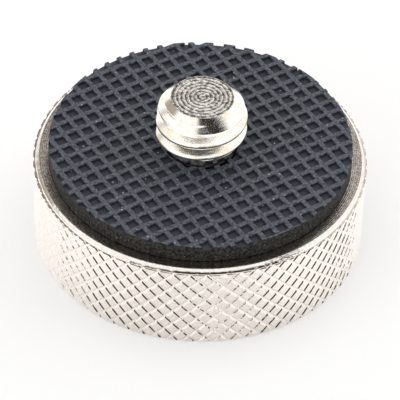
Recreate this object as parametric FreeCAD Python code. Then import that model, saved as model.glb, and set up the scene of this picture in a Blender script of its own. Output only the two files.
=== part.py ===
import FreeCAD, Part
import math
import os

# Tripod thread adapter. A knurled disc is turned in one with a 3/8 inch stud, has a blind
# 1/4 inch threaded hole in its base, and carries a waffle-faced rubber pad on its shoulder.
# Millimetres. The origin is the middle of the base, and the stud stands along +Z.

# Disc
disc_height = 10.0        # base to shoulder
knurl_radius = 17.5       # over the flat lands of the knurl
collar_inset = 0.1        # the plain collar over the knurl is this much smaller in radius
collar_height = 0.25
collar_chamfer = 0.3      # its slope, from its lower edge in to the shoulder
groove_height = 0.12      # V groove where the knurl stops under the collar
groove_depth = 0.1        # below the knurl's roots

# Diamond knurl
knurl_count = 67          # diamonds round the disc
knurl_rise = 1.75         # one diamond from corner to corner, fitted to whole half rows
knurl_depth = 0.2
land_share = 0.72         # flat part of a diamond's width

# Stud, 3/8-16 UNC
stud_diameter = 9.525
stud_reach = 6.1          # above the pad
stud_end_diameter = 6.5   # flat faced end inside its chamfer
stud_relief_diameter = 7.8  # thread relief, as high as the pad is thick

# Hole in the base, 1/4-20 UNC
hole_diameter = 5.1       # at the thread's crests
hole_depth = 8.0          # straight wall
hole_tip_angle = 118.0
mouth_diameter = 6.9      # countersink, clear of the thread's major diameter
mouth_angle = 90.0

# Rubber pad
pad_radius = 15.85
pad_thickness = 2.0
pad_hole_clearance = 0.25
pocket_pitch = 1.6
rib_width = 0.6
pocket_depth = 0.35
edge_nick = 0.15          # how far past the edge the middle of a pocket may lie
grid_turn = 33.4          # degrees from +X to the first row of pockets
grid_shift_u = -0.545     # rib centre line from the axis, along the rows
grid_shift_v = 0.157      # and across them

stud_radius = stud_diameter / 2
root_radius = knurl_radius - knurl_depth
groove_radius = root_radius - groove_depth
collar_radius = knurl_radius - collar_inset
shoulder_radius = collar_radius - collar_chamfer
collar_foot = disc_height - collar_height
knurl_top = collar_foot - groove_height
pad_top = disc_height + pad_thickness
stud_top = pad_top + stud_reach
axis_foot = FreeCAD.Vector(0, 0, 0)
axis = FreeCAD.Vector(0, 0, 1)


def at(radius, height):
    return FreeCAD.Vector(radius, 0, height)


def face(corners):
    return Part.Face(Part.makePolygon(corners + corners[:1]))


# A skin turned about the axis from a half profile.
def turned(profile):
    return Part.makePolygon(profile).revolve(axis_foot, axis, 360).Faces


# One raised diamond about the point where its middle faces +X. The flanks are flat, so the
# land's upper corner lies where the flank through the other three points meets its plane.
def diamond_corners(row_height):
    half_turn = math.pi / knurl_count
    side = FreeCAD.Vector(root_radius * math.cos(half_turn), root_radius * math.sin(half_turn), 0)
    top = FreeCAD.Vector(root_radius, 0, row_height)
    land_half = land_share * side.y
    land_side = FreeCAD.Vector(math.sqrt(knurl_radius**2 - land_half**2), land_half, 0)
    normal = (top - side).cross(land_side - side)
    rise = (normal.y * side.y - normal.x * (land_side.x - side.x)) / normal.z
    land_top = FreeCAD.Vector(land_side.x, 0, rise)
    return side, top, land_side, land_top


def mirrored(point, across, upright):
    return FreeCAD.Vector(point.x, point.y * across, point.z * upright)


# The knurled band from the base to knurl_top: rows of diamonds, each row half a diamond above
# the last and shifted by half a diamond, with half diamonds in the first and last rows. The
# base and the ledge under the groove end at the outline that the cut diamonds leave.
def knurl_skin():
    half_rows = max(2, round(2 * knurl_top / knurl_rise))
    row_height = knurl_top / half_rows
    side, top, land_side, land_top = diamond_corners(row_height)
    skin = []
    rims = {0: [], half_rows: []}
    for row in range(half_rows + 1):
        halves = [half for half in (-1, 1) if 0 <= row + half <= half_rows]
        height = FreeCAD.Vector(0, 0, row * row_height)
        for column in range(row % 2, 2 * knurl_count, 2):
            turn = FreeCAD.Rotation(axis, column * 180.0 / knurl_count)
            place = FreeCAD.Placement(height, turn)
            land = [land_side] + [land_top] * (1 in halves)
            land += [mirrored(land_side, -1, 1)] + [mirrored(land_top, 1, -1)] * (-1 in halves)
            skin.append(face([place.multVec(point) for point in land]))
            for half in halves:
                for across in (-1, 1):
                    flank = [mirrored(p, across, half) for p in (side, top, land_top, land_side)]
                    skin.append(face([place.multVec(point) for point in flank]))
            if row in rims:
                rim = [mirrored(side, -1, 1), mirrored(land_side, -1, 1), land_side]
                rims[row] += [place.multVec(point) for point in rim]
    for row, inner_radius in ((0, mouth_diameter / 2), (half_rows, groove_radius)):
        height = FreeCAD.Vector(0, 0, row * row_height)
        circle = Part.Wire(Part.makeCircle(inner_radius, height, axis))
        outline = Part.makePolygon(rims[row] + rims[row][:1])
        skin.append(Part.makeFace([outline, circle], "Part::FaceMakerBullseye"))
    return skin


def threaded_disc():
    end_radius = stud_end_diameter / 2
    end_height = stud_radius - end_radius
    stud_relief_radius = stud_relief_diameter / 2
    tip_height = hole_diameter / 2 / math.tan(math.radians(hole_tip_angle / 2))
    mouth_depth = (mouth_diameter - hole_diameter) / 2 / math.tan(math.radians(mouth_angle / 2))
    hole = turned([
        at(0, hole_depth + tip_height),
        at(hole_diameter / 2, hole_depth),
        at(hole_diameter / 2, mouth_depth),
        at(mouth_diameter / 2, 0)])
    head = turned([
        at(groove_radius, knurl_top),
        at(collar_radius, collar_foot),
        at(shoulder_radius, disc_height),
        at(stud_relief_radius, disc_height),
        at(stud_relief_radius, pad_top),
        at(stud_radius, pad_top),
        at(stud_radius, stud_top - end_height),
        at(end_radius, stud_top),
        at(0, stud_top)])
    shell = Part.Shell(hole + knurl_skin() + head)
    shell.sewShape()
    solid = Part.Solid(shell)
    if solid.Volume < 0:
        solid.reverse()
    return solid


# Square pockets between two sets of ribs, cut down from the pad's face. Those on the edge are
# open to the side, apart from the ones that would leave only a nick in it.
def pockets():
    width = pocket_pitch - rib_width
    reach = math.ceil(pad_radius / pocket_pitch) + 1
    cuts = []
    for row in range(-reach, reach + 1):
        for column in range(-reach, reach + 1):
            u = grid_shift_u + row * pocket_pitch + rib_width / 2
            v = grid_shift_v + column * pocket_pitch + rib_width / 2
            middle = math.hypot(u + width / 2, v + width / 2)
            if middle > pad_radius + edge_nick:
                continue
            floor = FreeCAD.Vector(u, v, pad_top - pocket_depth)
            cuts.append(Part.makeBox(width, width, 2 * pocket_depth, floor))
    grid = Part.Compound(cuts)
    grid.rotate(axis_foot, axis, grid_turn)
    return grid


def waffle_pad():
    hole_radius = stud_radius + pad_hole_clearance
    profile = face([
        at(hole_radius, disc_height),
        at(pad_radius, disc_height),
        at(pad_radius, pad_top),
        at(hole_radius, pad_top)])
    return profile.revolve(axis_foot, axis, 360).cut(pockets()).Solids[0]


os.makedirs("parts", exist_ok=True)
for name, solid in (("knurled_disc_and_stud", threaded_disc()), ("waffle_pad", waffle_pad())):
    print(name, solid.ShapeType, "valid", solid.isValid(), "solids", len(solid.Solids),
          "faces", len(solid.Faces), "volume", round(solid.Volume, 2), solid.BoundBox)
    solid.exportStep("parts/" + name + ".step")
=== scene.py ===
import bpy
import math
from mathutils import Matrix, Vector


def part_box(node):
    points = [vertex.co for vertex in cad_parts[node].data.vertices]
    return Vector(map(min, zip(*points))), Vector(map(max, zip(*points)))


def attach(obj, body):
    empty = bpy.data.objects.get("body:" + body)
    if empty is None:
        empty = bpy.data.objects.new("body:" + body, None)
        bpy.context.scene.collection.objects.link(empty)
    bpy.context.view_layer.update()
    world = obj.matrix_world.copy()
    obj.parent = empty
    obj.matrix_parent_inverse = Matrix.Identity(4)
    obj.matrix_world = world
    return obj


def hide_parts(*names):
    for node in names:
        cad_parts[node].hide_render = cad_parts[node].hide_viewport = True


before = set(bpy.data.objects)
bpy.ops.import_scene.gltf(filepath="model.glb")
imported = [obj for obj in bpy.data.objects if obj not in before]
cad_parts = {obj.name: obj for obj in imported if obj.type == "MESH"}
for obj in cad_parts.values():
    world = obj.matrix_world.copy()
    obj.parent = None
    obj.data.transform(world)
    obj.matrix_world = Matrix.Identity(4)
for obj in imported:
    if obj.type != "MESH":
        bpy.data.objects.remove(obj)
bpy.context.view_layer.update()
mm = 0.001                      # every size below is in millimetres

# The tripod thread adapter: a nickel-plated disc with a diamond knurl, a 3/8-16 stud turned in
# one with it, a 1/4-20 hole underneath, and a moulded rubber pad with a waffle face.
padLow, padHigh = (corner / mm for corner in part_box("waffle_pad"))
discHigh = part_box("knurled_disc_and_stud")[1] / mm
shoulderHeight = padLow.z
padTop = padHigh.z
studTop = discHigh.z
turnSegments = 264              # round the turned surfaces, four for each diamond of the knurl


# Modelling helpers

mergeWithin = 0.001 * mm
cutWithin = 0.0001 * mm
rimWithin = 0.002               # in millimetres, as the tests below compare


# Leaves the piece selected alone, in object mode.
def activate(piece):
    bpy.ops.object.mode_set(mode="OBJECT")
    bpy.ops.object.select_all(action="DESELECT")
    piece.select_set(True)
    bpy.context.view_layer.objects.active = piece


def editMode(piece):
    activate(piece)
    bpy.ops.object.mode_set(mode="EDIT")


def editAll(piece):
    editMode(piece)
    bpy.ops.mesh.select_all(action="SELECT")


def objectMode():
    bpy.ops.object.mode_set(mode="OBJECT")


# Selects in the mesh what the test accepts: "VERT" gets a place, "EDGE" two places,
# "FACE" the middle and the normal. Places are in millimetres.
def pick(piece, kind, accepts):
    editMode(piece)
    bpy.ops.mesh.select_mode(type=kind)
    bpy.ops.mesh.select_all(action="DESELECT")
    objectMode()
    mesh = piece.data
    places = [vertex.co / mm for vertex in mesh.vertices]
    if kind == "VERT":
        for vertex, place in zip(mesh.vertices, places):
            vertex.select = accepts(place)
    elif kind == "EDGE":
        for edge in mesh.edges:
            edge.select = accepts(places[edge.vertices[0]], places[edge.vertices[1]])
    else:
        for face in mesh.polygons:
            face.select = accepts(face.center / mm, face.normal)
    bpy.ops.object.mode_set(mode="EDIT")


# Selects the open edges of a mesh that the test accepts.
def selectOpen(piece, accepts):
    editMode(piece)
    bpy.ops.mesh.select_mode(type="EDGE")
    bpy.ops.mesh.select_all(action="DESELECT")
    bpy.ops.mesh.select_non_manifold(extend=False, use_wire=False, use_multi_face=False,
                                     use_non_contiguous=False, use_verts=False)
    objectMode()
    mesh = piece.data
    for edge in mesh.edges:
        if edge.select:
            a, b = (mesh.vertices[index].co / mm for index in edge.vertices)
            edge.select = accepts(a, b)
    for vertex in mesh.vertices:
        vertex.select = False
    for face in mesh.polygons:
        face.select = False
    bpy.ops.object.mode_set(mode="EDIT")


def radiusOf(place):
    return math.hypot(place.x, place.y)


# A line of points in the X-Z plane: one vertex, extruded from corner to corner.
def profileLine(name, corners):
    bpy.ops.object.select_all(action="DESELECT")
    bpy.ops.mesh.primitive_plane_add(size=mm, location=(0, 0, 0))
    piece = bpy.context.object
    piece.name = name
    editMode(piece)
    bpy.ops.mesh.select_mode(type="VERT")
    bpy.ops.mesh.select_all(action="SELECT")
    bpy.ops.mesh.merge(type="CENTER")
    bpy.ops.transform.translate(value=(corners[0][0] * mm, 0, corners[0][1] * mm))
    for start, end in zip(corners, corners[1:]):
        step = ((end[0] - start[0]) * mm, 0, (end[1] - start[1]) * mm)
        bpy.ops.mesh.extrude_vertices_move(TRANSFORM_OT_translate={"value": step})
    objectMode()
    return piece


def tidyMesh(piece):
    editAll(piece)
    bpy.ops.mesh.remove_doubles(threshold=mergeWithin)
    bpy.ops.mesh.normals_make_consistent(inside=False)
    objectMode()


# A solid of revolution from a profile that starts and ends on the axis, or that is closed.
def turned(name, corners, segments=turnSegments):
    piece = profileLine(name, corners)
    editAll(piece)
    bpy.ops.mesh.spin(steps=segments, angle=2 * math.pi, center=(0, 0, 0), axis=(0, 0, 1))
    tidyMesh(piece)
    return piece


# Sweeps the piece's line round the axis by the Screw modifier, rising by so much a turn.
def sweepUp(piece, rise, turns, steps):
    activate(piece)
    sweep = piece.modifiers.new("sweep", "SCREW")
    sweep.axis = "Z"
    sweep.angle = 2 * math.pi
    sweep.screw_offset = rise * mm
    sweep.iterations = turns
    sweep.steps = steps
    sweep.render_steps = steps
    bpy.ops.object.modifier_apply(modifier=sweep.name)


def combine(piece, other, operation):
    activate(piece)
    modifier = piece.modifiers.new(operation.lower(), "BOOLEAN")
    modifier.operation = operation
    modifier.solver = "EXACT"
    modifier.object = other
    bpy.ops.object.modifier_apply(modifier=modifier.name)
    bpy.data.objects.remove(other)
    return piece


# Smooth shading round the axis, where faces meet at a few degrees. Every face of a profile or a
# knurl keeps its own flat shading, so that it mirrors as it should.
def shade(piece):
    editMode(piece)
    bpy.ops.mesh.faces_shade_smooth()
    bpy.ops.mesh.set_sharpness_by_angle(angle=math.radians(8))
    objectMode()


def cutLevel(piece, height, keepAbove, cap=False):
    editAll(piece)
    bpy.ops.mesh.bisect(
        plane_co=(0, 0, height * mm), plane_no=(0, 0, 1), threshold=cutWithin,
        use_fill=cap, clear_inner=keepAbove, clear_outer=not keepAbove)
    objectMode()


# Threads

# A right-hand screw thread as a closed solid: one pitch of its profile, from the middle of a
# crest to the next, swept up, cut level at both ends and capped. Crests keep a flat of 0.7 of
# their width, and roots one of 0.7 of theirs.
def threadSolid(name, thread, low, high):
    pitch = thread["pitch"]
    crest = thread["majorRadius"]
    root = thread["minorRadius"]
    crestHalf = thread["crestWidth"] / 2
    rootHalf = thread["rootWidth"] / 2
    inward = thread["roundness"]            # a corner is rounded off by this much
    rise = pitch / 2 - crestHalf - rootHalf
    upward = inward * rise / (crest - root)
    lowerHalf = [
        (crest, 0),
        (crest, crestHalf * 0.7),
        (crest - inward, crestHalf + upward),
        (root + inward, crestHalf + rise - upward),
        (root, crestHalf + rise + rootHalf * 0.3)]
    upperHalf = [(x, pitch - z) for x, z in reversed(lowerHalf)]
    turns = math.ceil((high - low) / pitch) + 2
    start = thread["crestHeight"] - pitch * math.ceil((thread["crestHeight"] - low) / pitch + 1)
    piece = profileLine(name, [(x, start + z) for x, z in lowerHalf + upperHalf])
    sweepUp(piece, pitch, turns, thread["segments"])
    editAll(piece)
    bpy.ops.mesh.remove_doubles(threshold=mergeWithin)
    cutLevel(piece, low, True, cap=True)
    cutLevel(piece, high, False, cap=True)
    tidyMesh(piece)
    return piece


# Disc and stud

disc = {
    "knurlTop": 9.58,
    "collarRadius": 17.27,      # at the collar's foot, just inside the knurl's roots
    "collarTaper": 0.1,
    "chamferHeight": 0.2,       # at the shoulder's edge
    "chamferWidth": 0.26,
    "edgeRound": 0.03,          # plated edges are never sharp
    "footEase": 0.12,
    "neckRadius": 3.85}
stud = {
    "pitch": 1.5875,
    "majorRadius": 4.72,
    "minorRadius": 3.8,
    "crestWidth": 0.26,
    "rootWidth": 0.3,
    "roundness": 0.06,
    "crestHeight": 15.65,       # middle of a crest where it crosses +X
    "threadFoot": 13.2,         # the neck's cone reaches the full diameter here
    "footSlope": 30.0,
    "endRadius": 3.25,
    "endRound": 0.12,
    "endWear": 0.2,             # rounding of the first crest, where the end chamfer meets it
    "segments": 96}
hole = {
    "pitch": 1.27,
    "majorRadius": 3.175,
    "minorRadius": 2.55,
    "crestWidth": 0.16,
    "rootWidth": 0.3,
    "roundness": 0.04,
    "crestHeight": 0.0,
    "threadDepth": 7.3,
    "depth": 8.0,
    "tipHeight": 1.53,
    "mouthRadius": 3.45,
    "segments": 64}


# The thread within a blank that has the neck's cone at its foot and the end chamfer at its top.
# The blank stands clear of the thread between them, and its foot is buried in the neck.
def makeStud():
    crest = stud["majorRadius"]
    end = stud["endRadius"]
    footCone = math.tan(math.radians(stud["footSlope"]))
    neckTop = stud["threadFoot"] - (crest - disc["neckRadius"]) * footCone
    endFoot = studTop - (crest - end)
    worn = stud["endWear"]
    ease = stud["endRound"]
    clear = 0.2
    buried = 0.02
    foot = neckTop - 0.5
    blank = turned("studBlank", [
        (0, foot),
        (disc["neckRadius"] - buried, foot),
        (disc["neckRadius"] - buried, neckTop - buried * footCone),
        (crest + clear, stud["threadFoot"] + clear * footCone),
        (crest + clear, endFoot - worn * 4),
        (crest - worn * 0.3, endFoot - worn),
        (crest - worn, endFoot + worn * 0.2),
        (crest - worn * 1.3, endFoot + worn * 1.3),
        (end + ease, studTop - ease),
        (end + ease * 0.3, studTop - ease * 0.2),
        (end - ease * 0.6, studTop),
        (0, studTop)], stud["segments"])
    piece = threadSolid("stud", stud, foot - 0.5, studTop + 0.5)
    return combine(piece, blank, "INTERSECT"), neckTop


# The hole's thread and its drilled core. Both reach out of the base, and the core's mouth goes on
# there at its 45 degrees.
def makeHoleCutter():
    below = 2
    core = hole["minorRadius"]
    piece = threadSolid("holeCutter", hole, -1, hole["threadDepth"])
    drill = turned("drill", [
        (0, -below),
        (hole["mouthRadius"] + below, -below),
        (core, hole["mouthRadius"] - core),
        (core, hole["depth"]),
        (0, hole["depth"] + hole["tipHeight"])], hole["segments"])
    return combine(piece, drill, "UNION")


def makeTurnedDisc():
    ease = disc["edgeRound"]
    wall = disc["collarRadius"]             # the knurl takes this wall's place
    collarTop = wall - disc["collarTaper"]
    shoulder = collarTop - disc["chamferWidth"]
    chamferFoot = shoulderHeight - disc["chamferHeight"]
    threadPart, neckTop = makeStud()
    piece = turned("turnedDisc", [
        (0, 0),
        (wall - ease, 0),
        (wall, ease),
        (wall, disc["knurlTop"]),
        (collarTop + ease * 0.4, chamferFoot - ease),
        (collarTop - ease * 0.7, chamferFoot + ease * 0.7),
        (shoulder + ease * 0.7, shoulderHeight - ease * 0.7),
        (shoulder - ease, shoulderHeight),
        (disc["neckRadius"], shoulderHeight),
        (disc["neckRadius"], neckTop + ease),
        (0, neckTop + ease)])
    combine(piece, makeHoleCutter(), "DIFFERENCE")
    combine(piece, threadPart, "UNION")
    return piece


# Knurl

knurl = {
    "rightGrooves": 68,         # round the disc, right hand
    "leftGrooves": 64,
    "rise": 1.754,              # one diamond from corner to corner
    "rootRadius": 17.32,
    "depth": 0.178,
    "inset": 0.205,             # width of a flank, seen square on
    "landRound": 0.02,
    "rootRound": 0.1,
    "column": -86.26,           # degrees from +X to a column of diamonds
    "corner": 0.917}            # height of a diamond's upper corner in that column


# A line of grid points up the disc is swept round it and up, so that each column of diamonds
# stands a little higher, and after a full turn the grid meets itself.
def makeKnurlBand():
    columns = (knurl["rightGrooves"] + knurl["leftGrooves"]) // 2
    turnRise = knurl["rise"] * (knurl["rightGrooves"] - knurl["leftGrooves"]) / 2
    spare = math.ceil(turnRise / knurl["rise"]) + 1
    low = knurl["corner"] - spare * knurl["rise"]
    rows = spare + math.ceil(disc["knurlTop"] / knurl["rise"]) + 1
    piece = profileLine("knurlBand", [
        (knurl["rootRadius"], low + row * knurl["rise"]) for row in range(rows + 1)])
    piece.matrix_world = Matrix.Rotation(math.radians(knurl["column"]), 4, "Z")
    activate(piece)
    bpy.ops.object.transform_apply(location=True, rotation=True, scale=True)
    sweepUp(piece, turnRise, 1, columns)
    tidyMesh(piece)
    editMode(piece)
    bpy.ops.mesh.select_mode(type="FACE")
    bpy.ops.mesh.select_all(action="SELECT")
    bpy.ops.mesh.poke()         # a corner in the middle of each square, inside the circle
    flat = math.cos(math.pi / columns)
    middle = knurl["rootRadius"] * (1 + flat) / 2
    pick(piece, "VERT", lambda place: radiusOf(place) < middle)
    bpy.ops.transform.resize(value=(1 / flat, 1 / flat, 1), center_override=(0, 0, 0))

    # Without the squares' own edges, only the diagonals are left, which bound the diamonds.
    def isSquareEdge(a, b):
        inReach = -0.5 * knurl["rise"] < a.z < disc["knurlTop"] + 0.5 * knurl["rise"]
        return inReach and (radiusOf(a - b) < 0.01 or abs(a.z - b.z) < 0.1)

    pick(piece, "EDGE", isSquareEdge)
    bpy.ops.mesh.dissolve_edges(use_verts=False)
    bpy.ops.mesh.select_mode(type="FACE")
    bpy.ops.mesh.select_all(action="SELECT")
    bpy.ops.mesh.inset(
        thickness=knurl["inset"] * mm, depth=knurl["depth"] * mm,
        use_individual=True, use_boundary=True)
    landRadius = knurl["rootRadius"] + knurl["depth"] / 2
    pick(piece, "EDGE", lambda a, b: min(radiusOf(a), radiusOf(b)) > landRadius)
    bpy.ops.mesh.bevel(offset=knurl["landRound"] * mm, segments=2, affect="EDGES")
    rootLevel = knurl["rootRadius"] + 0.01
    pick(piece, "EDGE", lambda a, b: max(radiusOf(a), radiusOf(b)) < rootLevel)
    bpy.ops.mesh.bevel(offset=knurl["rootRound"] * mm, segments=2, affect="EDGES")
    objectMode()
    cutLevel(piece, disc["footEase"], True)
    cutLevel(piece, disc["knurlTop"], False)
    return piece


# The turned disc with the knurled band in place of its plain wall, bridged at both rims.
def makeDisc():
    piece = makeTurnedDisc()
    print("disc: turned blank, hole and stud")
    band = makeKnurlBand()
    print("disc: knurl")
    wall = disc["collarRadius"] - disc["edgeRound"] / 2

    def isWall(middle, normal):
        level = disc["edgeRound"] < middle.z < disc["knurlTop"] - 0.01
        return level and radiusOf(middle) > wall and abs(normal.z) < 0.1

    pick(piece, "FACE", isWall)
    bpy.ops.mesh.delete(type="FACE")
    activate(piece)
    band.select_set(True)
    bpy.ops.object.join()
    rims = ((disc["footEase"], disc["edgeRound"]), (disc["knurlTop"], disc["knurlTop"]))
    for bandHeight, wallHeight in rims:

        def isRim(a, b):
            return any(max(abs(a.z - height), abs(b.z - height)) < rimWithin
                       for height in (bandHeight, wallHeight))

        selectOpen(piece, isRim)
        bpy.ops.mesh.bridge_edge_loops()
    tidyMesh(piece)
    shade(piece)
    return piece


# Rubber pad

pad = {
    "radius": padHigh.x,
    "holeRadius": 4.0,
    "pitch": 1.6,
    "rib": 0.52,
    "depth": 0.35,
    "draft": 0.03,              # the pockets' walls lean out by this much
    "edgeRound": 0.07,
    "footEase": 0.1,            # the die drew the lower edge in
    "turn": 33.4,               # degrees from +X to a row of pockets
    "shiftU": -0.545,
    "shiftV": 0.157,
    "segments": 252}


# The pockets' upper edges: level, at the pad's top, and not on the grid's own lines.
def isPocketEdge(a, b):
    if min(a.z, b.z) < padTop - 0.01:
        return False
    turn = Matrix.Rotation(-math.radians(pad["turn"]), 4, "Z")
    shift = Vector((pad["shiftU"], pad["shiftV"], 0))
    for place in (a, b):
        flat = (turn @ Vector((place.x, place.y, 0)) - shift) / pad["pitch"]
        off = min(abs(flat.x - round(flat.x)), abs(flat.y - round(flat.y)))
        if off < 0.1:
            return False
    return True


# A grid of square pockets with the photo's turn and shift, made a thick slab, and cut to a ring.
def makePad():
    bpy.ops.object.select_all(action="DESELECT")
    cells = 2 * (math.ceil(pad["radius"] / pad["pitch"]) + 1)
    bpy.ops.mesh.primitive_grid_add(
        x_subdivisions=cells, y_subdivisions=cells, size=cells * pad["pitch"] * mm)
    piece = bpy.context.object
    piece.name = "rubberPad"
    turn = Matrix.Rotation(math.radians(pad["turn"]), 4, "Z")
    shift = turn @ Vector((pad["shiftU"], pad["shiftV"], 0))
    piece.matrix_world = Matrix.Translation((shift + Vector((0, 0, padTop))) * mm) @ turn
    bpy.ops.object.transform_apply(location=True, rotation=True, scale=True)
    editMode(piece)
    bpy.ops.mesh.select_mode(type="FACE")
    bpy.ops.mesh.select_all(action="SELECT")
    bpy.ops.mesh.inset(thickness=pad["rib"] / 2 * mm, use_individual=True)
    bpy.ops.mesh.inset(
        thickness=pad["draft"] * mm, depth=-pad["depth"] * mm, use_individual=True)
    pick(piece, "EDGE", isPocketEdge)
    bpy.ops.mesh.bevel(offset=pad["edgeRound"] * mm, segments=2, affect="EDGES")
    selectOpen(piece, lambda a, b: True)
    down = {"value": (0, 0, -2 * (padTop - shoulderHeight) * mm)}
    bpy.ops.mesh.extrude_edges_move(TRANSFORM_OT_translate=down)
    bpy.ops.mesh.edge_face_add()
    tidyMesh(piece)
    ring = turned("padRing", [
        (pad["holeRadius"], shoulderHeight),
        (pad["radius"] - pad["footEase"], shoulderHeight),
        (pad["radius"], shoulderHeight + pad["footEase"]),
        (pad["radius"], padTop + 1),
        (pad["holeRadius"], padTop + 1),
        (pad["holeRadius"], shoulderHeight)], pad["segments"])
    combine(piece, ring, "INTERSECT")
    tidyMesh(piece)
    shade(piece)
    return piece


# Materials

def linear(hexText):
    channels = [int(hexText[i:i + 2], 16) / 255 for i in (1, 3, 5)]
    return tuple(c / 12.92 if c <= 0.04045 else ((c + 0.055) / 1.055) ** 2.4
                 for c in channels) + (1.0,)


# Adds a node, sets its settings, and sets or links its inputs.
def addNode(tree, kind, inputs=(), **settings):
    new = tree.nodes.new(kind)
    for name, value in settings.items():
        setattr(new, name, value)
    for socket, value in dict(inputs).items():
        if isinstance(value, bpy.types.NodeSocket):
            tree.links.new(value, new.inputs[socket])
        else:
            new.inputs[socket].default_value = value
    return new


def calculate(tree, operation, *values):
    return addNode(tree, "ShaderNodeMath", dict(enumerate(values)), operation=operation).outputs[0]


# Goes from low to high while the value goes from start to stop.
def ramp(tree, value, start, stop, low=0.0, high=1.0, **settings):
    return addNode(tree, "ShaderNodeMapRange", {
        "Value": value, "From Min": start, "From Max": stop, "To Min": low, "To Max": high},
        **settings).outputs["Result"]


# Mixes two colours, each a hex text or a socket.
def mix(tree, share, first, second):
    first, second = (linear(c) if isinstance(c, str) else c for c in (first, second))
    return addNode(tree, "ShaderNodeMix", {0: share, 6: first, 7: second},
                   data_type="RGBA").outputs[2]


# A colour that is low where the value is low, and high where it is high.
def blend(tree, value, low, high, start, stop):
    return mix(tree, ramp(tree, value, start, stop), low, high)


# Noise of the given size in millimetres.
def noise(tree, place, size, detail, roughness):
    return addNode(tree, "ShaderNodeTexNoise", {
        "Vector": place, "Scale": 1 / (size * mm), "Detail": detail,
        "Roughness": roughness}).outputs["Fac"]


# Tool marks in rings about the axis, so many millimetres apart.
def rings(tree, place, spacing, distortion, detail, detailScale):
    return addNode(tree, "ShaderNodeTexWave", {
        "Vector": place, "Scale": math.pi / 10 / (spacing * mm), "Distortion": distortion,
        "Detail": detail, "Detail Scale": detailScale},
        wave_type="RINGS", rings_direction="Z").outputs["Fac"]


# Round specks in cells of the given size in millimetres; the cells below the share have none.
def specks(tree, place, size, empty):
    cells = addNode(tree, "ShaderNodeTexVoronoi", {"Vector": place, "Scale": 1 / (size * mm)})
    near = calculate(tree, "LESS_THAN", cells.outputs["Distance"], 0.13)
    draw = addNode(tree, "ShaderNodeSeparateXYZ", {"Vector": cells.outputs["Color"]})
    few = calculate(tree, "GREATER_THAN", draw.outputs["X"], empty)
    return calculate(tree, "MULTIPLY", near, few)


def addBump(tree, shader, height, distance, strength):
    bump = addNode(tree, "ShaderNodeBump", {
        "Height": height, "Distance": distance * mm, "Strength": strength})
    tree.links.new(bump.outputs["Normal"], shader.inputs["Normal"])


def newMaterial(name):
    material = bpy.data.materials.new(name)
    material.use_nodes = True
    tree = material.node_tree
    tree.nodes.clear()
    shader = addNode(tree, "ShaderNodeBsdfPrincipled")
    addNode(tree, "ShaderNodeOutputMaterial", {"Surface": shader.outputs["BSDF"]})
    place = addNode(tree, "ShaderNodeTexCoord").outputs["Object"]
    return material, tree, shader, place


# Bright nickel, plated over knurled brass: warm white and mirror-like, a little wavy, with a
# faint orange peel.
def brightNickel():
    material, tree, shader, place = newMaterial("brightNickelPlate")
    shader.inputs["Metallic"].default_value = 1.0
    tone = noise(tree, place, 0.4, 3.0, 0.7)
    colour = blend(tree, tone, "#EDE5DC", "#F7F2ED", 0.35, 0.65)
    tree.links.new(colour, shader.inputs["Base Color"])
    peel = noise(tree, place, 0.25, 3.0, 0.6)
    tree.links.new(ramp(tree, peel, 0.3, 0.7, 0.06, 0.15), shader.inputs["Roughness"])
    waves = noise(tree, place, 0.8, 2.0, 0.5)
    addBump(tree, shader, calculate(tree, "MULTIPLY_ADD", waves, 8.0, peel), 0.008, 0.8)
    return material


# The same plate over the cut thread, where it is a little yellow, and the tool left fine streaks
# round the stud.
def threadNickel():
    material, tree, shader, place = newMaterial("threadNickelPlate")
    shader.inputs["Metallic"].default_value = 1.0
    shader.inputs["Roughness"].default_value = 0.1
    tone = noise(tree, place, 1.4, 4.0, 0.7)
    colour = blend(tree, tone, "#F3E9D2", "#FCF9F4", 0.36, 0.52)
    tree.links.new(colour, shader.inputs["Base Color"])
    stretched = addNode(tree, "ShaderNodeMapping", {
        "Vector": place, "Scale": (1.0, 1.0, 9.0)}).outputs["Vector"]
    addBump(tree, shader, noise(tree, stretched, 0.9, 4.0, 0.75), 0.014, 0.6)
    return material


# Turned and plated nickel on the shoulder: the plate mirrors over the lathe's fine feed marks,
# which run round the axis, and grit left small pits.
def turnedNickel():
    material, tree, shader, place = newMaterial("turnedNickelPlate")
    shader.inputs["Metallic"].default_value = 1.0
    shader.inputs["Roughness"].default_value = 0.14
    grain = noise(tree, place, 0.16, 4.0, 0.75)
    colour = blend(tree, grain, "#8B8379", "#F0EBE6", 0.38, 0.6)
    tree.links.new(colour, shader.inputs["Base Color"])
    marks = rings(tree, place, 0.2, 1.5, 2.0, 0.5)
    addBump(tree, shader, calculate(tree, "MULTIPLY_ADD", grain, 2.5, marks), 0.008, 0.7)
    return material


# Faced and plated nickel on the stud's end: the facing tool left coarser rings about the axis,
# and the plate over them is mottled. The rings also go into the colour as painted highlights.
def facedNickel():
    material, tree, shader, place = newMaterial("facedNickelPlate")
    shader.inputs["Metallic"].default_value = 1.0
    shader.inputs["Roughness"].default_value = 0.2
    marks = rings(tree, place, 0.44, 0.7, 3.0, 3.0)
    mottle = noise(tree, place, 0.35, 5.0, 0.75)
    # painted highlights: the tool rings lighten and darken the colour, over the mottle
    tone = calculate(tree, "MULTIPLY_ADD", marks, 0.16, mottle)
    colour = blend(tree, tone, "#5E5852", "#FDF9F4", 0.48, 0.68)
    tree.links.new(colour, shader.inputs["Base Color"])
    addBump(tree, shader, calculate(tree, "MULTIPLY_ADD", marks, 1.5, mottle), 0.03, 0.8)
    return material
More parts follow.
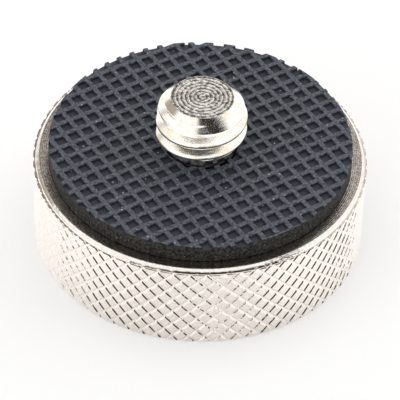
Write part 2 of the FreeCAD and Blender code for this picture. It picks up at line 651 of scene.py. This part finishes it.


# Moulded black rubber: matt, a little blue, with a grain on its ribs and specks of white dust,
# and painted shade that makes it darker in the pockets.
def mouldedRubber():
    material, tree, shader, place = newMaterial("mouldedRubber")
    shader.inputs["Roughness"].default_value = 0.5
    grain = noise(tree, place, 0.3, 2.0, 0.7)
    ribs = blend(tree, grain, "#262A33", "#676C77", 0.36, 0.66)
    level = addNode(tree, "ShaderNodeSeparateXYZ", {"Vector": place}).outputs["Z"]
    # painted shade: below the ribs' tops the colour goes over to the darker pocket colour
    ribsClearOfPaintedShade = ramp(tree, level, (padTop - 0.3) * mm, (padTop - 0.1) * mm)
    colour = mix(tree, specks(tree, place, 0.55, 0.88),
                 mix(tree, ribsClearOfPaintedShade, "#2F333C", ribs), "#C4C6CC")
    tree.links.new(colour, shader.inputs["Base Color"])
    addBump(tree, shader, grain, 0.03, 0.8)
    return material


# The pad's die-cut edge: the same rubber, rougher, with the pale grains of its filler cut open,
# and painted shade that makes it darker than the top.
def cutRubber():
    material, tree, shader, place = newMaterial("cutRubberEdge")
    shader.inputs["Roughness"].default_value = 0.6
    shader.inputs["Specular IOR Level"].default_value = 0.12
    grain = noise(tree, place, 0.3, 2.0, 0.7)
    # painted shade: the edge's colours are darker than those of the ribs on top
    dark = blend(tree, grain, "#161514", "#4A4742", 0.36, 0.66)
    colour = mix(tree, specks(tree, place, 0.4, 0.7), dark, "#8D8A84")
    tree.links.new(colour, shader.inputs["Base Color"])
    addBump(tree, shader, grain, 0.04, 0.9)
    return material


# Gives a material to the faces that the test accepts.
def paint(piece, material, accepts):
    piece.data.materials.append(material)
    slot = len(piece.data.materials) - 1
    for face in piece.data.polygons:
        if accepts(face.center / mm, face.normal):
            face.material_index = slot


# Studio

studio = {
    "cameraElevation": 43.448,  # degrees
    "cameraRoll": 2.148,
    "cameraDistance": 301.65,
    "aimRight": 0.139,
    "aimUp": -4.700,
    "lens": 259.48}


def makeCamera():
    elevation = math.radians(studio["cameraElevation"])
    ahead = Vector((0, math.cos(elevation), -math.sin(elevation)))
    up = Vector((0, math.sin(elevation), math.cos(elevation)))
    right = Vector((1, 0, 0))
    place = Vector((0, 0, shoulderHeight)) - ahead * studio["cameraDistance"]
    place += right * studio["aimRight"] + up * studio["aimUp"]
    bpy.ops.object.camera_add(location=place * mm)
    camera = bpy.context.object
    tilt = Matrix.Rotation(math.pi / 2 - elevation, 4, "X")
    roll = Matrix.Rotation(math.radians(studio["cameraRoll"]), 4, "Z")
    camera.matrix_world = Matrix.Translation(place * mm) @ tilt @ roll
    camera.data.lens = studio["lens"]
    camera.data.clip_start = 0.01
    bpy.context.scene.camera = camera


board = {
    "size": 4000.0,
    "colour": "#F3F3F3",
    "glow": 0.2,                # the floor's own light, so that it reads as pure white
    "gleamFront": 0.14,         # the same where the metal mirrors it, before the disc
    "gleamSides": 0.36,         # and beside it
    "frontWidth": 8.0,          # half widths
    "sidesWidth": 18.0}


# A matt pale board under everything, which is staging.
def makeFloor():
    bpy.ops.object.select_all(action="DESELECT")
    bpy.ops.mesh.primitive_plane_add(size=board["size"] * mm)
    floor = bpy.context.object
    floor.name = "floor"
    material = bpy.data.materials.new("paleBoard")
    material.use_nodes = True
    tree = material.node_tree
    tree.nodes.clear()
    matt = addNode(tree, "ShaderNodeBsdfDiffuse", {"Color": linear(board["colour"])})
    ray = addNode(tree, "ShaderNodeLightPath")
    place = addNode(tree, "ShaderNodeTexCoord").outputs["Object"]
    across = addNode(tree, "ShaderNodeSeparateXYZ", {"Vector": place}).outputs["X"]
    gleam = ramp(
        tree, calculate(tree, "ABSOLUTE", across), board["frontWidth"] * mm,
        board["sidesWidth"] * mm, board["gleamFront"], board["gleamSides"])
    mirrored = calculate(tree, "MULTIPLY", ray.outputs["Is Glossy Ray"], gleam)
    glow = calculate(tree, "MULTIPLY_ADD", ray.outputs["Is Camera Ray"], board["glow"], mirrored)
    light = addNode(tree, "ShaderNodeEmission", {"Color": linear("#FFFFFF"), "Strength": glow})
    both = addNode(tree, "ShaderNodeAddShader", {
        0: matt.outputs["BSDF"], 1: light.outputs["Emission"]})
    addNode(tree, "ShaderNodeOutputMaterial", {"Surface": both.outputs["Shader"]})
    floor.data.materials.append(material)


# The tent's patches have a left, right, lower and upper edge. Each edge says where it starts and
# how wide it fades, in degrees. The sides count from the camera, and the back's from behind.
tent = {
    "light": 1.08,
    "gap": ((-42.0, 5.0), (68.0, -5.0), (-8.0, 5.0), (22.0, -5.0)),
    "gapDrop": 14.0,            # the gap's top comes down by this much at its left
    "gapDropEdge": (-8.0, -12.0),
    "camera": ((-16.0, 10.0), (84.0, -20.0), (33.0, 5.0), (54.0, -5.0)),
    "left": ((-145.0, 20.0), (-76.0, -20.0), (-100.0, 5.0), (34.0, -5.0)),
    "back": ((-30.0, 5.0), (30.0, -5.0), (28.0, 5.0), (60.0, -5.0)),
    "backMiddle": (-4.0, 8.0),
    "darkTone": "#27231F",
    "leftTone": "#AAA095",
    "backTones": ("#817C76", "#DDD8D3")}


# A white tent all round, with a dark gap low on the near side, the camera's dark shape over it,
# a brown panel on the left and a weaker one behind, which is dimmer on its left. What the
# camera sees directly is plain white.
def makeTent():
    world = bpy.data.worlds.new("tent")
    bpy.context.scene.world = world
    world.use_nodes = True
    tree = world.node_tree
    tree.nodes.clear()
    way = addNode(tree, "ShaderNodeTexCoord").outputs["Generated"]
    x, y, z = addNode(tree, "ShaderNodeSeparateXYZ", {"Vector": way}).outputs
    lift = calculate(tree, "ARCSINE", z)
    behind = calculate(tree, "ARCTAN2", x, y)
    turn = calculate(tree, "ARCTAN2", x, calculate(tree, "MULTIPLY", y, -1.0))

    def edge(value, start, fade):
        return ramp(tree, value, math.radians(start), math.radians(start + fade),
                    interpolation_type="SMOOTHSTEP")

    def patch(name, side, top=lift):
        share = edge(side, *tent[name][0])
        for value, limits in zip((side, lift, top), tent[name][1:]):
            share = calculate(tree, "MULTIPLY", share, edge(value, *limits))
        return share

    drop = calculate(tree, "MULTIPLY", edge(turn, *tent["gapDropEdge"]),
                     math.radians(tent["gapDrop"]))
    dark = calculate(
        tree, "MAXIMUM", patch("gap", turn, calculate(tree, "ADD", lift, drop)),
        patch("camera", turn))
    backTone = mix(tree, edge(behind, *tent["backMiddle"]), *tent["backTones"])
    room = mix(tree, patch("back", behind), "#FFFFFF", backTone)
    room = mix(tree, patch("left", turn), room, tent["leftTone"])
    room = mix(tree, dark, room, tent["darkTone"])
    ray = addNode(tree, "ShaderNodeLightPath").outputs["Is Camera Ray"]
    tone = mix(tree, ray, room, "#FFFFFF")
    strength = calculate(tree, "MULTIPLY_ADD", ray, 1.0 - tent["light"], tent["light"])
    light = addNode(tree, "ShaderNodeBackground", {"Color": tone, "Strength": strength})
    addNode(tree, "ShaderNodeOutputWorld", {"Surface": light.outputs["Background"]})


makeCamera()
makeFloor()
makeTent()
bpy.context.scene.view_settings.view_transform = "Standard"
print("studio: camera, floor, tent")

metalPiece = makeDisc()
metalPiece.name = "nickelAdapter"
metalPiece.data.materials.clear()
metalPiece.data.materials.append(brightNickel())
paint(metalPiece, turnedNickel(), lambda middle, normal: (
    normal.z > 0.9 and abs(middle.z - shoulderHeight) < 0.03))
paint(metalPiece, threadNickel(), lambda middle, normal: (
    radiusOf(middle) < 6 and shoulderHeight + 0.1 < middle.z < studTop - 0.03))
paint(metalPiece, facedNickel(), lambda middle, normal: (
    normal.z > 0.9 and middle.z > studTop - 0.05))
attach(metalPiece, "root")
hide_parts("knurled_disc_and_stud")
print("disc: done,", len(metalPiece.data.polygons), "faces")

rubberPiece = makePad()
rubberPiece.data.materials.clear()
rubberPiece.data.materials.append(mouldedRubber())
paint(rubberPiece, cutRubber(), lambda middle, normal: (
    abs(normal.z) < 0.8 and radiusOf(middle) > pad["radius"] - 0.06))
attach(rubberPiece, "root")
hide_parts("waffle_pad")
print("pad: done,", len(rubberPiece.data.polygons), "faces")
